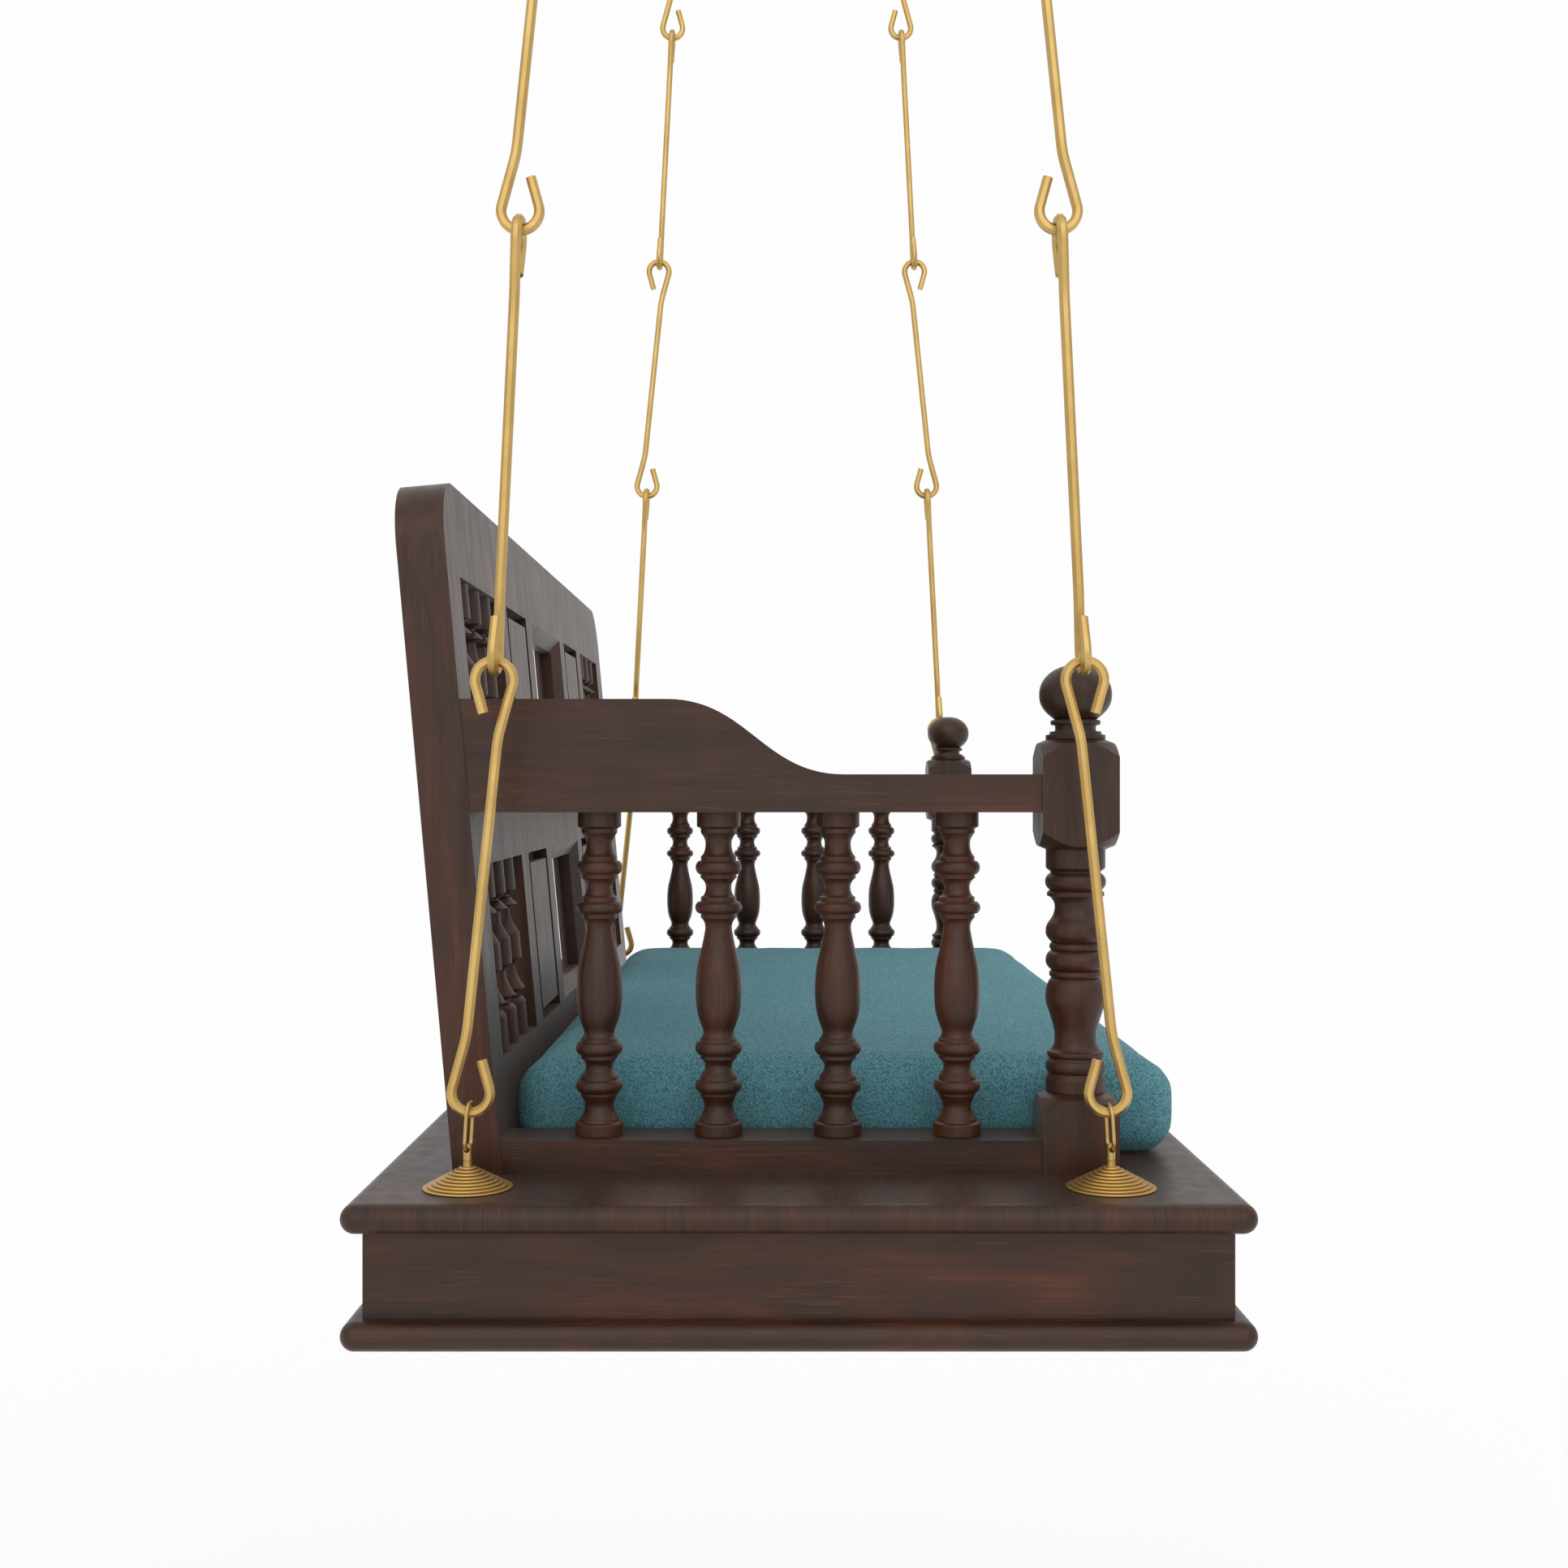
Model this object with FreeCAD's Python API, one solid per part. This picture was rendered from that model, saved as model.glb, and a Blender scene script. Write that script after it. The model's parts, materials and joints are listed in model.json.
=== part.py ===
import FreeCAD, Part
import math
import os

V = FreeCAD.Vector

# A platform swing: a wooden seat with turned side rails and a framed back,
# hung from the ceiling on four chains of hooked brass rods.
# Millimetres.  X runs along the seat (left is -X), -Y is the front where the
# sitter's legs are, +Z is up.  The origin is under the middle of the platform.

# ---- driving dimensions -------------------------------------------------
PLATFORM_LENGTH = 1327.0
PLATFORM_DEPTH = 610.0
BOARD_THICK = 20.0              # top and bottom boards, edges fully rounded
APRON_HEIGHT = 58.0
APRON_THICK = 22.0
APRON_INSET = 14.0              # from the tips of the rounded edges
TOP = 2 * BOARD_THICK + APRON_HEIGHT   # height of the platform's top face
CORNER_BLOCK = (560.0, 170.0)   # inner sides of the blocks under the hangers
CROSS_RAIL_X = (-300.0, 0.0, 300.0)
CROSS_RAIL_WIDTH = 60.0
NUT_POCKET_R = 14.0
NUT_POCKET_DEPTH = 14.0

SIDE_X = 534.0                  # middle plane of each side rail
RAIL_THICK = 50.0
SILL_HEIGHT = 24.0
ARM_LOW = 258.6                 # underside of the arm, above the platform
ARM_FRONT_TOP = 285.8
ARM_BACK_TOP = 339.7
ARM_CURVE_FRONT = -33.0
ARM_CURVE_BACK = 94.0
BALUSTER_Y = (144.2, 57.5, -29.2, -115.9)
TENON_R = 6.0
TENON_LENGTH = 14.0

POST_Y = -202.2
POST_SIDE = 55.0
POST_TOP = 311.0                # top of the upper square block
POST_BLOCKS = (55.5, 231.4)     # top of the lower block, foot of the upper one
POST_WAIST = 21.5
POST_TENON_R = 13.0
POST_TENON_LENGTH = 16.0

BACK_HALF_WIDTH = 560.0
BACK_THICK = 35.0
BACK_LEAN = 5.17                # degrees from upright
BACK_FOOT_Y = 211.2             # front face where it meets the platform
BACK_HEIGHT = 501.0
BACK_CORNER_R = 50.0
BOTTOM_RAIL_TOP = 75.0
MID_RAIL = (219.4, 288.1)
TOP_RAIL_LOW = 432.5
STILE_INNER = 507.0
INFILL_DEPTH = 26.0             # muntins and spindles, from the front face
BAYS = (114.0, 151.0, 275.0, 316.0)
SPLAY = 13.5
SPLAY_DEPTH = 9.0
SLOT_HALF = 62.0
SLOT_BOARD_DEPTH = 20.0
SLOT_SILL = 10.0                # strip that closes the foot of each slot
FEATHER_EDGE = 1.5
PANEL_MARGIN = 9.0
SPINDLE_R = 12.0
SPINDLE_SET_BACK = 1.7          # from the face of the back
PANEL_TONGUE = (12.0, 20.0)     # depths from the face of the back

MATTRESS = (495.0, -281.0, 209.0, 70.0)   # half length, front, back, thickness
MATTRESS_CORNER_R = 26.0
MATTRESS_RIM_R = 20.0

HANGER_X = 604.8
HANGER_Y = {"front": -215.8, "back": 228.2}
CHAIN_LEAN = math.degrees(math.atan(0.056))   # towards the middle, going up
EYE_ABOVE = 26.8                # eye hole above the platform's top face
EYE_HOLE_R = 2.15
STEM_R = 3.0
RING_TURN = 10.0                # the ring links stand a little askew
RING_WIRE_R = 1.3
RING_BEND_R = 6.75
RING_LENGTH = 31.1              # between the centres of its two end wires
RING_DROP = 0.35                # how low the bent wire lies in the eye hole
RING_GAP = 0.5                  # ring wire to rod
ROD_FLATS = 7.0                 # octagonal rod, across its flats
ROD_PITCH = 305.0
RODS = 5
HOOK_BEND_R = 13.2
HOOK_TIP = (6.0, 23.4)          # from the bend's centre: sideways, along
SHANK_BEND = (-4.9, 40.0)
HOOK_GAP = 0.1                  # rod to rod
HOOK_SOFTEN = 7.0               # length of the curve between hook and shank
OPEN_GAP = 1.6                  # extra slack at the three rings left open
BOLT_R = 5.0
WASHER_R = 12.0
WASHER_THICK = 2.5
NUT_FLATS = 17.0
NUT_HEIGHT = 8.0
ROSETTE_R = 31.0
ROSETTE_HEIGHT = 15.0
ROSETTE_STEPS = 9
ROSETTE_TOP_R = 6.0
ROSETTE_LIP = 0.7
PLATE_R = 50.0
PLATE_THICK = 6.0
PLATE_HOLE_PCD = 78.0
PLATE_HOLE_R = 3.25
CEILING_SHANK_R = 4.25

os.makedirs("parts", exist_ok=True)


# ---- small helpers --------------------------------------------------------
def save(name, shape):
    shape.exportStep("parts/" + name + ".step")
    print(name, "solids", len(shape.Solids), "valid", shape.isValid(),
          "volume", round(shape.Volume / 1000.0, 1))


def box(x0, x1, y0, y1, z0, z1):
    return Part.makeBox(x1 - x0, y1 - y0, z1 - z0, V(x0, y0, z0))


def group(solids):
    return Part.makeCompound(solids)


def moved(shape, x=0.0, y=0.0, z=0.0):
    copy = shape.copy()
    copy.translate(V(x, y, z))
    return copy


def mirrored_x(shape):
    return shape.mirror(V(0, 0, 0), V(1, 0, 0))


def drill(shape, x, y, z0, z1, radius):
    return shape.cut(Part.makeCylinder(radius, z1 - z0, V(x, y, z0)))


def extrude(points, direction):
    return Part.Face(Part.makePolygon(points + [points[0]])).extrude(direction)


def turned(steps):
    """A solid of revolution about Z.  Each step is (kind, points): a line to
    one (radius, z), an arc through a middle point, or a smooth curve."""
    here = V(0, 0, steps[0][1][0][1])
    edges = []
    for kind, points in steps:
        there = [V(r, 0, z) for r, z in points]
        if kind == "line":
            for point in there:
                if (point - here).Length > 1e-6:
                    edges.append(Part.LineSegment(here, point).toShape())
                here = point
        elif kind == "arc":
            edges.append(Part.Arc(here, there[0], there[1]).toShape())
            here = there[1]
        else:
            curve = Part.BSplineCurve()
            curve.interpolate([here] + there)
            edges.append(curve.toShape())
            here = there[-1]
    top = V(0, 0, here.z)
    edges.append(Part.LineSegment(here, top).toShape())
    edges.append(Part.LineSegment(top, V(0, 0, steps[0][1][0][1])).toShape())
    face = Part.Face(Part.Wire(edges))
    return face.revolve(V(0, 0, 0), V(0, 0, 1), 360)


# ---- platform -------------------------------------------------------------
def rounded_board(z0):
    """A board whose four edges are full half-rounds with ball corners."""
    r = BOARD_THICK / 2.0
    hx = PLATFORM_LENGTH / 2.0 - r
    hy = PLATFORM_DEPTH / 2.0 - r
    board = box(-hx, hx, -hy, hy, z0, z0 + BOARD_THICK)
    edges = []
    for side in (-1, 1):
        edges.append(Part.makeCylinder(r, 2 * hx, V(-hx, side * hy, z0 + r), V(1, 0, 0)))
        edges.append(Part.makeCylinder(r, 2 * hy, V(side * hx, -hy, z0 + r), V(0, 1, 0)))
        for end in (-1, 1):
            edges.append(Part.makeSphere(r, V(side * hx, end * hy, z0 + r)))
    return board.multiFuse(edges).removeSplitter()


HANGER_SPOTS = [(side * HANGER_X, y) for side in (-1, 1) for y in HANGER_Y.values()]


def platform():
    bottom = rounded_board(0.0)
    top = rounded_board(TOP - BOARD_THICK)
    for x, y in HANGER_SPOTS:
        bottom = drill(bottom, x, y, -1, TOP, BOLT_R + 0.3)
        bottom = drill(bottom, x, y, -1, NUT_POCKET_DEPTH, NUT_POCKET_R)
        top = drill(top, x, y, 0, TOP + 1, BOLT_R + 0.3)
    for side in (-1, 1):
        top = drill(top, side * SIDE_X, POST_Y, TOP - POST_TENON_LENGTH - 1, TOP + 1,
                    POST_TENON_R + 0.05)
    save("platform_top_board", top)
    save("platform_bottom_board", bottom)

    ox = PLATFORM_LENGTH / 2.0 - APRON_INSET
    oy = PLATFORM_DEPTH / 2.0 - APRON_INSET
    z0, z1 = BOARD_THICK, TOP - BOARD_THICK
    inner_x, inner_y = ox - APRON_THICK, oy - APRON_THICK
    outer = [V(-ox, -oy, z0), V(ox, -oy, z0), V(ox, oy, z0), V(-ox, oy, z0)]
    inner = [V(-inner_x, -inner_y, z0), V(inner_x, -inner_y, z0),
             V(inner_x, inner_y, z0), V(-inner_x, inner_y, z0)]
    for number, name in enumerate(("front", "right", "back", "left")):
        after = (number + 1) % 4         # mitred where two boards meet
        outline = [outer[number], outer[after], inner[after], inner[number]]
        save("apron_" + name, extrude(outline, V(0, 0, z1 - z0)))

    blocks = []
    for x, y in HANGER_SPOTS:
        xs = sorted((math.copysign(inner_x, x), math.copysign(CORNER_BLOCK[0], x)))
        ys = sorted((math.copysign(inner_y, y), math.copysign(CORNER_BLOCK[1], y)))
        block = box(xs[0], xs[1], ys[0], ys[1], z0, z1)
        blocks.append(drill(block, x, y, 0, TOP, BOLT_R + 0.3))
    save("platform_corner_blocks", group(blocks))

    half = CROSS_RAIL_WIDTH / 2.0
    rails = [box(x - half, x + half, -inner_y, inner_y, z0, z1) for x in CROSS_RAIL_X]
    save("platform_cross_rails", group(rails))


# ---- side rails -----------------------------------------------------------
RAIL_IN = SIDE_X - RAIL_THICK / 2.0
POST_REAR = POST_Y + POST_SIDE / 2.0


def back_face_y(above):
    return BACK_FOOT_Y + above * math.tan(math.radians(BACK_LEAN))


def sill_and_arm():
    gap = 0.02
    sill = extrude([V(RAIL_IN, POST_REAR, TOP), V(RAIL_IN, back_face_y(0) - gap, TOP),
                    V(RAIL_IN, back_face_y(SILL_HEIGHT) - gap, TOP + SILL_HEIGHT),
                    V(RAIL_IN, POST_REAR, TOP + SILL_HEIGHT)], V(RAIL_THICK, 0, 0))

    low, front, back = TOP + ARM_LOW, TOP + ARM_FRONT_TOP, TOP + ARM_BACK_TOP
    ends = [V(RAIL_IN, back_face_y(ARM_BACK_TOP) - gap, back),
            V(RAIL_IN, back_face_y(ARM_LOW) - gap, low),
            V(RAIL_IN, POST_REAR, low), V(RAIL_IN, POST_REAR, front),
            V(RAIL_IN, ARM_CURVE_FRONT, front)]
    reach = (ARM_CURVE_BACK - ARM_CURVE_FRONT) * 0.46
    swoop = Part.BezierCurve()
    swoop.setPoles([ends[-1], V(RAIL_IN, ARM_CURVE_FRONT + reach, front),
                    V(RAIL_IN, ARM_CURVE_BACK - reach, back), V(RAIL_IN, ARM_CURVE_BACK, back)])
    edges = [Part.LineSegment(a, b).toShape() for a, b in zip(ends, ends[1:])]
    edges.append(swoop.toShape())
    edges.append(Part.LineSegment(V(RAIL_IN, ARM_CURVE_BACK, back), ends[0]).toShape())
    arm = Part.Face(Part.Wire(edges)).extrude(V(RAIL_THICK, 0, 0))

    for y in BALUSTER_Y:
        sill = drill(sill, SIDE_X, y, TOP + SILL_HEIGHT - TENON_LENGTH - 1, TOP + SILL_HEIGHT + 1,
                     TENON_R + 0.05)
        arm = drill(arm, SIDE_X, y, low - 1, low + TENON_LENGTH + 1, TENON_R + 0.05)
    return sill, arm


def baluster():
    low, high = SILL_HEIGHT, ARM_LOW
    return turned([
        ("line", [(TENON_R, low - TENON_LENGTH), (TENON_R, low), (17.2, low), (17.7, low + 0.6),
                  (17.7, 32.2), (17.1, 33.2), (14.7, 34.0), (14.1, 36.2), (13.5, 37.0)]),
        ("curve", [(12.0, 39.6), (10.8, 42.6), (10.5, 45.2), (10.9, 47.6), (12.1, 50.3),
                   (13.2, 52.6)]),
        ("line", [(13.5, 53.0), (13.5, 54.9), (14.6, 55.0)]),
        ("arc", [(17.05, 59.6), (14.7, 64.2)]),
        ("line", [(13.8, 64.4), (13.5, 66.4)]),
        ("curve", [(12.3, 68.2), (10.7, 70.4), (9.85, 73.8), (10.3, 76.2), (11.6, 78.0),
                   (13.0, 79.3)]),
        ("line", [(13.4, 79.5), (13.4, 82.2), (14.6, 82.3)]),
        ("arc", [(17.1, 87.4), (14.8, 91.9)]),
        ("line", [(13.8, 92.1), (13.4, 93.9)]),
        ("curve", [(11.7, 95.9), (11.1, 98.3), (12.0, 102.0), (13.4, 105.5), (14.9, 110.2),
                   (16.1, 117.3), (16.65, 127.0), (16.5, 135.5), (15.4, 147.0), (13.7, 154.5),
                   (11.85, 162.2), (10.3, 170.0), (9.7, 175.0), (10.3, 178.2), (12.1, 181.1)]),
        ("line", [(12.9, 181.6), (12.9, 184.9), (14.6, 185.0)]),
        ("arc", [(17.05, 189.2), (14.7, 193.3)]),
        ("line", [(12.9, 193.4), (12.8, 196.9)]),
        ("curve", [(10.8, 198.2), (9.7, 200.6), (9.25, 203.8), (9.7, 206.5), (11.2, 209.0),
                   (12.7, 210.3)]),
        ("line", [(13.15, 210.5), (13.15, 213.4), (14.4, 213.5)]),
        ("arc", [(16.75, 218.4), (14.5, 222.9)]),
        ("line", [(12.9, 223.0), (12.8, 226.3)]),
        ("curve", [(11.0, 228.4), (9.8, 231.8), (9.5, 235.2), (10.0, 238.6), (11.6, 241.6),
                   (12.7, 243.2)]),
        ("line", [(13.0, 243.4), (13.0, 246.4), (15.8, 248.1), (15.8, high), (TENON_R, high),
                  (TENON_R, high + TENON_LENGTH)]),
    ])


def shoulder(z, way):
    """Outline of a square block's turned shoulder, from the waist outwards.
    way is +1 where the block stands above it and -1 where it hangs below."""
    slack = 2.7
    return [(POST_WAIST, z), (28.0, z + way * slack), (28.0 + 32.0, z + way * (slack + 30.0))]


def post():
    """Square foot and upper block with turned shoulders, a turned middle."""
    far = shoulder(0.0, 1)[-1][0]
    foot, head = POST_BLOCKS
    blank = turned([
        ("line", [(far, 0.0)] + shoulder(foot, -1)[::-1] + [(21.8, foot + 1.2), (21.8, 65.0)]),
        ("curve", [(20.6, 67.0), (19.8, 69.2)]),
        ("arc", [(21.8, 74.9), (19.6, 79.2)]),
        ("line", [(19.3, 80.4)]),
        ("arc", [(20.75, 83.2), (20.3, 84.9)]),
        ("line", [(18.5, 85.8)]),
        ("curve", [(17.2, 87.2), (15.8, 89.8), (15.25, 94.8), (15.6, 100.2), (16.9, 105.4),
                   (18.5, 110.8), (20.1, 115.6), (21.4, 120.2), (21.8, 125.6), (21.3, 130.4),
                   (20.1, 134.2), (18.5, 136.9), (17.4, 138.2)]),
        ("arc", [(19.05, 141.2), (17.4, 143.8)]),
        ("arc", [(21.65, 151.0), (17.5, 158.1)]),
        ("arc", [(18.9, 161.0), (17.2, 163.8)]),
        ("curve", [(19.6, 166.3), (21.2, 168.9), (21.65, 172.2), (21.0, 175.8), (18.9, 179.4),
                   (16.6, 182.9), (15.3, 187.0), (15.05, 190.0), (15.5, 192.6), (16.9, 195.1),
                   (18.7, 196.9)]),
        ("line", [(20.6, 197.6), (20.8, 199.4), (20.1, 200.7), (18.6, 201.9)]),
        ("arc", [(22.0, 208.0), (18.0, 214.3)]),
        ("line", [(18.4, 215.6), (20.4, 217.0), (POST_WAIST, 218.2)] + shoulder(head, 1)
         + shoulder(POST_TOP, -1)[::-1]),
    ])
    half = POST_SIDE / 2.0
    square = box(-half, half, -half, half, 0.0, POST_TOP)
    solid = blank.common(square)
    tenon = Part.makeCylinder(POST_TENON_R, POST_TENON_LENGTH + 1.0, V(0, 0, -POST_TENON_LENGTH))
    dowel_hole = Part.makeCylinder(TENON_R + 0.05, 21.0, V(0, 0, POST_TOP - 20.0))
    return solid.fuse(tenon).cut(dowel_hole).removeSplitter()


def finial():
    low = POST_TOP
    return turned([
        ("line", [(TENON_R, low - 19.0), (TENON_R, low), (21.2, low), (21.6, low + 0.5),
                  (21.6, low + 3.4), (19.0, low + 3.9), (18.5, low + 5.9), (15.0, low + 6.3)]),
        ("curve", [(14.7, low + 8.4), (15.1, low + 10.4)]),
        ("line", [(17.4, low + 10.8)]),
        ("arc", [(18.15, low + 12.6), (17.4, low + 14.2)]),
        ("line", [(15.1, low + 14.6)]),
        ("curve", [(19.6, low + 18.4), (22.9, low + 21.9), (25.4, low + 26.6), (26.3, low + 32.6),
                   (25.7, low + 38.0), (23.2, low + 43.6), (19.4, low + 47.9), (12.0, low + 52.4),
                   (3.0, low + 54.2)]),
    ])


def side_rails():
    sill, arm = sill_and_arm()
    one_baluster = moved(baluster(), z=TOP)
    one_post = moved(post(), z=TOP)
    one_finial = moved(finial(), z=TOP)
    for name, side in (("left", -1), ("right", 1)):
        flip = mirrored_x if side < 0 else (lambda shape: shape)
        save("sill_" + name, flip(sill))
        save("arm_" + name, flip(arm))
        for number, y in enumerate(BALUSTER_Y, 1):
            save("baluster_%s_%d" % (name, number), moved(one_baluster, side * SIDE_X, y))
        save("front_post_" + name, moved(one_post, side * SIDE_X, POST_Y))
        save("finial_" + name, moved(one_finial, side * SIDE_X, POST_Y))


# ---- back -----------------------------------------------------------------
# The back is drawn upright, its front face on Y = 0 and its foot on Z = 0,
# and then leant back and stood on the platform.
STRETCH = 1.0 / math.cos(math.radians(BACK_LEAN))
ROWS = {"lower": (BOTTOM_RAIL_TOP * STRETCH, MID_RAIL[0] * STRETCH),
        "upper": (MID_RAIL[1] * STRETCH, TOP_RAIL_LOW * STRETCH)}


def leaned(shape):
    copy = shape.copy()
    copy.rotate(V(0, 0, 0), V(1, 0, 0), -BACK_LEAN)
    copy.translate(V(0, BACK_FOOT_Y, TOP))
    return copy


def on_platform(shape):
    return shape.common(box(-700, 700, 0, 400, TOP, TOP + 700))


def end_stile(side):
    top = BACK_HEIGHT * STRETCH
    outer, inner = BACK_HALF_WIDTH, STILE_INNER
    r = BACK_CORNER_R
    turn = r * math.sqrt(0.5)
    corner = V(outer - r, 0, top - r)
    edges = [Part.LineSegment(V(inner, 0, 0), V(outer, 0, 0)).toShape(),
             Part.LineSegment(V(outer, 0, 0), V(outer, 0, top - r)).toShape(),
             Part.Arc(V(outer, 0, top - r), corner + V(turn, 0, turn), V(outer - r, 0, top)).toShape(),
             Part.LineSegment(V(outer - r, 0, top), V(inner, 0, top)).toShape(),
             Part.LineSegment(V(inner, 0, top), V(inner, 0, 0)).toShape()]
    stile = Part.Face(Part.Wire(edges)).extrude(V(0, BACK_THICK, 0))
    return stile if side > 0 else mirrored_x(stile)


def spindle(low, high):
    """A turned bar: plain ends, two sharp beads and a plain middle, with long
    coves between.  Heights are shares of its length."""
    full, neck = SPINDLE_R, 5.6

    def at(share, radius):
        return (radius, low + share * (high - low))
    bar = turned([
        ("line", [at(0.0, full), at(0.184, full)]),
        ("curve", [at(0.205, 10.6), at(0.219, neck)]),
        ("line", [at(0.231, neck), at(0.258, full + 0.4)]),
        ("curve", [at(0.300, 9.2), at(0.350, 6.4), at(0.392, neck)]),
        ("line", [at(0.402, neck + 0.6), at(0.430, full), at(0.572, full)]),
        ("curve", [at(0.610, 8.9), at(0.650, 6.3), at(0.690, neck), at(0.716, neck)]),
        ("line", [at(0.734, full + 0.4), at(0.774, 7.2), at(0.780, neck), at(0.790, neck),
                  at(0.816, full), at(1.0, full)]),
    ])
    return moved(bar, y=SPINDLE_R + SPINDLE_SET_BACK)


def window_frame(low, high):
    """The splayed lining of the middle bay."""
    half = BAYS[0]
    lip = 0.5
    frame = box(-half, half, 0, SLOT_BOARD_DEPTH, low, high)
    inner = half - SPLAY
    hole = box(-inner, inner, -1, SLOT_BOARD_DEPTH + 1, low + SPLAY, high - SPLAY)

    def rectangle(y, inset):
        x = half - inset
        corners = [V(-x, y, low + inset), V(x, y, low + inset), V(x, y, high - inset),
                   V(-x, y, high - inset), V(-x, y, low + inset)]
        return Part.makePolygon(corners)
    splay = Part.makeLoft([rectangle(0.0, lip), rectangle(SPLAY_DEPTH, SPLAY)], True, True)
    return frame.cut(hole).cut(splay)


def slot_board(low, high):
    """A feather-edged board that closes one side of the middle bay."""
    front, rear = SLOT_BOARD_DEPTH, INFILL_DEPTH
    full = BAYS[0] - SPLAY
    points = [V(SLOT_HALF, front, low), V(BAYS[0], front, low), V(BAYS[0], rear, low),
              V(full, rear, low), V(SLOT_HALF, front + FEATHER_EDGE, low)]
    return extrude(points, V(0, 0, high - low))


def slot_sill(low):
    return box(-SLOT_HALF, SLOT_HALF, SLOT_BOARD_DEPTH, INFILL_DEPTH, low,
               low + SPLAY + SLOT_SILL)


def fielded_panel(low, high):
    x0, x1 = BAYS[1], BAYS[2]
    m = PANEL_MARGIN
    front, rear = PANEL_TONGUE
    tongue = box(x0, x1, front, rear, low, high)
    field = box(x0 + m, x1 - m, 0.3, front, low + m, high - m)
    return tongue.fuse(field).removeSplitter()


def back():
    rail_x = STILE_INNER
    rails = {"back_bottom_rail": (0.0, BOTTOM_RAIL_TOP), "back_middle_rail": MID_RAIL,
             "back_top_rail": (TOP_RAIL_LOW, BACK_HEIGHT)}
    for name, (low, high) in rails.items():
        rail = box(-rail_x, rail_x, 0, BACK_THICK, low * STRETCH, high * STRETCH)
        save(name, on_platform(leaned(rail)))
    for name, side in (("left", -1), ("right", 1)):
        save("back_stile_" + name, on_platform(leaned(end_stile(side))))

    boards = []
    for row, (low, high) in ROWS.items():
        muntins = []
        for x0, x1 in (BAYS[0:2], BAYS[2:4]):
            for side in (-1, 1):
                xs = sorted((side * x0, side * x1))
                muntins.append(leaned(box(xs[0], xs[1], 0, INFILL_DEPTH, low, high)))
        save("back_muntins_" + row, group(muntins))

        panel = fielded_panel(low, high)
        save("back_panel_%s_right" % row, leaned(panel))
        save("back_panel_%s_left" % row, leaned(mirrored_x(panel)))

        save("window_frame_" + row, leaned(window_frame(low, high)))
        board = slot_board(low, high)
        boards += [leaned(board), leaned(mirrored_x(board)), leaned(slot_sill(low))]

        one = spindle(low, high)
        gap = (STILE_INNER - BAYS[3] - 6 * SPINDLE_R) / 4.0
        spindles = []
        for number in range(3):
            x = BAYS[3] + gap + SPINDLE_R + number * (gap + 2 * SPINDLE_R)
            spindles += [leaned(moved(one, x=x)), leaned(moved(one, x=-x))]
        save("back_spindles_" + row, group(spindles))
    save("window_slot_boards", group(boards))


# ---- mattress -------------------------------------------------------------
def mattress():
    half, front, rear, thick = MATTRESS
    lift = 0.3
    block = box(-half, half, front, rear, TOP + lift, TOP + lift + thick)
    upright = [e for e in block.Edges if abs(e.Vertexes[0].Z - e.Vertexes[1].Z) > 1.0]
    block = block.makeFillet(MATTRESS_CORNER_R, upright)
    rims = [e for e in block.Edges if abs(e.BoundBox.ZMax - e.BoundBox.ZMin) < 0.01]
    save("mattress", block.makeFillet(MATTRESS_RIM_R, rims))


# ---- hanging hardware -----------------------------------------------------
def rosette():
    """A stepped brass cone; each step has a rounded rim."""
    rise = ROSETTE_HEIGHT / ROSETTE_STEPS
    pitch = (ROSETTE_R - ROSETTE_TOP_R) / (ROSETTE_STEPS - 1)
    steps = [("line", [(ROSETTE_R - ROSETTE_LIP, 0.0)])]
    for number in range(ROSETTE_STEPS):
        radius = ROSETTE_R - number * pitch
        z = number * rise
        if number:
            steps.append(("line", [(radius - ROSETTE_LIP, z)]))
        steps.append(("arc", [(radius, z + rise / 2.0), (radius - ROSETTE_LIP, z + rise)]))
    cone = turned(steps)
    return cone.cut(Part.makeCylinder(STEM_R + 0.05, 40, V(0, 0, -5)))


def eye_stem(shank_radius, shank_low, hole_at, turn):
    """A stem with a cross hole near its end and a small turned groove; below
    the platform face it is a thicker shank.  turn is the hole's heading."""
    end = hole_at + 3.8
    stem = turned([
        ("line", [(shank_radius, shank_low), (shank_radius, -0.05), (STEM_R, -0.05),
                  (STEM_R, 18.6), (STEM_R - 0.5, 18.9), (STEM_R - 0.5, 19.4), (STEM_R, 19.7),
                  (STEM_R, end - 0.5), (STEM_R - 0.5, end)]),
    ])
    direction = V(math.cos(math.radians(turn)), math.sin(math.radians(turn)), 0)
    hole = Part.makeCylinder(EYE_HOLE_R, 20, V(0, 0, hole_at) - direction * 10, direction)
    return stem.cut(hole)


def hexagon(z0, z1, across_flats, bore):
    r = across_flats / math.sqrt(3.0)
    corners = [V(r * math.cos(k * math.pi / 3), r * math.sin(k * math.pi / 3), z0)
               for k in range(6)]
    return extrude(corners, V(0, 0, z1 - z0)).cut(Part.makeCylinder(bore, z1, V(0, 0, z0)))


def frame_of(row):
    """The chain's own directions: along it, and across it in the YZ plane."""
    sign = 1.0 if row == "back" else -1.0
    a = math.radians(CHAIN_LEAN)
    along = V(0, -sign * math.sin(a), math.cos(a))
    inward = V(0, -sign * math.cos(a), -math.sin(a))
    return along, inward


def swept(edges, section, normal):
    path = Part.Wire(edges)
    sweep = Part.BRepOffsetAPI.MakePipeShell(path)
    sweep.setBiNormalMode(normal)
    sweep.add(section, False, False)
    sweep.build()
    sweep.makeSolid()
    return sweep.shape()


def arc_between(centre, radius, u, w, a0, a1):
    """An arc in the plane of u and w, from angle a0 to a1."""
    def at(angle):
        return centre + u * (radius * math.cos(angle)) + w * (radius * math.sin(angle))
    return Part.Arc(at(a0), at((a0 + a1) / 2.0), at(a1)).toShape(), at(a0), at(a1)


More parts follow.
